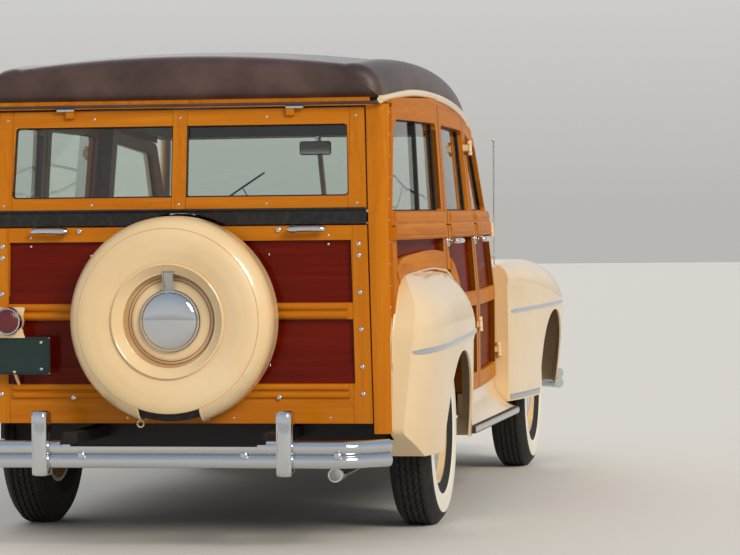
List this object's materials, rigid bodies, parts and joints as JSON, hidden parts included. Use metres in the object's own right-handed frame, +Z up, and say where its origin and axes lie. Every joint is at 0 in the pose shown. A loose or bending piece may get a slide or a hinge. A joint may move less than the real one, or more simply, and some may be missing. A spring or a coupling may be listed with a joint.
{
  "type": "wood-bodied station wagon",
  "caption": "Post-war station wagon with a varnished wood body, brown covered roof, cream fenders, split tailgate and a covered spare wheel on its back.",
  "frame": {"origin": "on the ground under the middle of the car's outline", "axes": "+Z up, the car's front faces -Y, its right side is at -X"},
  "size_m": [1.879, 4.926, 1.8384],
  "materials": {
    "cream_paint": "gloss cream enamel",
    "maple": "varnished honey maple",
    "mahogany": "varnished red mahogany ply",
    "roof_vinyl": "dark brown coated fabric with a fine grain",
    "window_glass": "clear flat safety glass",
    "chrome": "polished chrome plate",
    "stainless": "polished stainless trim",
    "black_rubber": "matt black rubber",
    "tyre_rubber": "black tread with white sidewalls",
    "board_rubber": "ribbed maroon rubber",
    "chassis_black": "black chassis paint",
    "floor_paint": "dull brown floor paint",
    "seat_leather": "red-brown leather",
    "steering_plastic": "moulded tan plastic",
    "cast_iron": "painted cast iron",
    "lamp_red": "ribbed red lens in a chrome bezel",
    "lamp_clear": "fluted clear lens in a chrome rim"
  },
  "bodies": {
    "body": {"antenna": "chrome", "corner_posts": "maple", "cowl": "cream_paint", "engine": "cast_iron", "exhaust": "stainless", "fixed_glass": "window_glass", "floor": "floor_paint", "frame": "chassis_black", "front_axle": "chassis_black", "front_bumper": "chrome", "front_fenders": "cream_paint", "fuel_tank": "chassis_black", "grille": "chrome", "headlamps": "lamp_clear", "quarter_panels": "mahogany", "radiator": "chassis_black", "rear_axle": "chassis_black", "rear_bumper": "chrome", "rear_fenders": "cream_paint", "roof": "roof_vinyl", "running_boards": "board_rubber", "seats": "seat_leather", "side_frames": "maple", "sill_aprons": "cream_paint"},
    "door_rear_right": {"door_frame_rear_right": "maple", "door_panels_rear_right": "mahogany", "door_glass_rear_right": "window_glass"},
    "door_front_right": {"door_frame_front_right": "maple", "door_panels_front_right": "mahogany", "door_glass_front_right": "window_glass"},
    "door_rear_left": {"door_frame_rear_left": "maple", "door_panels_rear_left": "mahogany", "door_glass_rear_left": "window_glass"},
    "door_front_left": {"door_frame_front_left": "maple", "door_panels_front_left": "mahogany", "door_glass_front_left": "window_glass"},
    "tailgate": {"tailgate_frame": "maple", "tailgate_panels": "mahogany", "spare_tyre": "tyre_rubber", "spare_wheel": "cream_paint", "spare_cover": "cream_paint", "tail_lamp": "lamp_red"},
    "liftgate": {"liftgate_frame": "maple", "liftgate_glass": "window_glass", "gate_flap": "black_rubber"},
    "hood_lid": {"hood": "cream_paint"},
    "steering": {"steering_wheel": "steering_plastic"},
    "knuckle_left": {"knuckle_left": "chassis_black"},
    "knuckle_right": {"knuckle_right": "chassis_black"},
    "roadwheel_rear_left": {"tyre_rear_left": "tyre_rubber", "wheel_rear_left": "cream_paint"},
    "roadwheel_rear_right": {"tyre_rear_right": "tyre_rubber", "wheel_rear_right": "cream_paint"},
    "roadwheel_front_left": {"tyre_front_left": "tyre_rubber", "wheel_front_left": "cream_paint"},
    "roadwheel_front_right": {"tyre_front_right": "tyre_rubber", "wheel_front_right": "cream_paint"}
  },
  "joints": [
    {"name": "door_rear_right_hinge", "type": "hinge", "parent": "body", "child": "door_rear_right", "pos_m": [-0.86595, 0.42, 0.64], "axis": [0.0523, 0, 0.9986], "range_deg": [0, 65]},
    {"name": "door_front_right_hinge", "type": "hinge", "parent": "body", "child": "door_front_right", "pos_m": [-0.80121, -0.53, 0.64], "axis": [0.0523, 0, 0.9986], "range_deg": [0, 65]},
    {"name": "door_rear_left_hinge", "type": "hinge", "parent": "body", "child": "door_rear_left", "pos_m": [0.86595, 0.42, 0.64], "axis": [0.0523, 0, -0.9986], "range_deg": [0, 65]},
    {"name": "door_front_left_hinge", "type": "hinge", "parent": "body", "child": "door_front_left", "pos_m": [0.80121, -0.53, 0.64], "axis": [0.0523, 0, -0.9986], "range_deg": [0, 65]},
    {"name": "tailgate_hinge", "type": "hinge", "parent": "body", "child": "tailgate", "pos_m": [0, 2.123, 0.64], "axis": [-1, 0, 0], "range_deg": [0, 90]},
    {"name": "liftgate_hinge", "type": "hinge", "parent": "body", "child": "liftgate", "pos_m": [0, 2.119, 1.6], "axis": [1, 0, 0], "range_deg": [0, 95]},
    {"name": "hood_hinge", "type": "hinge", "parent": "body", "child": "hood_lid", "pos_m": [0, -0.733, 1.188], "axis": [-1, 0, 0], "range_deg": [0, 45]},
    {"name": "steer_left", "type": "hinge", "parent": "body", "child": "knuckle_left", "pos_m": [0.64, -1.583, 0.364], "axis": [0, 0, 1], "range_deg": [-30, 30]},
    {"name": "steer_right", "type": "hinge", "parent": "body", "child": "knuckle_right", "pos_m": [-0.64, -1.583, 0.364], "axis": [0, 0, 1], "range_deg": [-30, 30]},
    {"name": "spin_rear_left", "type": "hinge", "parent": "body", "child": "roadwheel_rear_left", "pos_m": [0.762, 1.313, 0.364], "axis": [1, 0, 0], "continuous": true},
    {"name": "spin_rear_right", "type": "hinge", "parent": "body", "child": "roadwheel_rear_right", "pos_m": [-0.762, 1.313, 0.364], "axis": [1, 0, 0], "continuous": true},
    {"name": "spin_front_left", "type": "hinge", "parent": "knuckle_left", "child": "roadwheel_front_left", "pos_m": [0.7365, -1.583, 0.364], "axis": [1, 0, 0], "continuous": true},
    {"name": "spin_front_right", "type": "hinge", "parent": "knuckle_right", "child": "roadwheel_front_right", "pos_m": [-0.7365, -1.583, 0.364], "axis": [1, 0, 0], "continuous": true},
    {"name": "steering_wheel_turn", "type": "hinge", "parent": "body", "child": "steering", "pos_m": [0.36, -0.232, 1.02], "axis": [0, 0.8378, 0.546], "range_deg": [-540, 540]}
  ],
  "couplings": [
    {"joint": "steer_right", "follows": "steer_left", "ratio": 1},
    {"joint": "steering_wheel_turn", "follows": "steer_left", "ratio": 18}
  ]
}
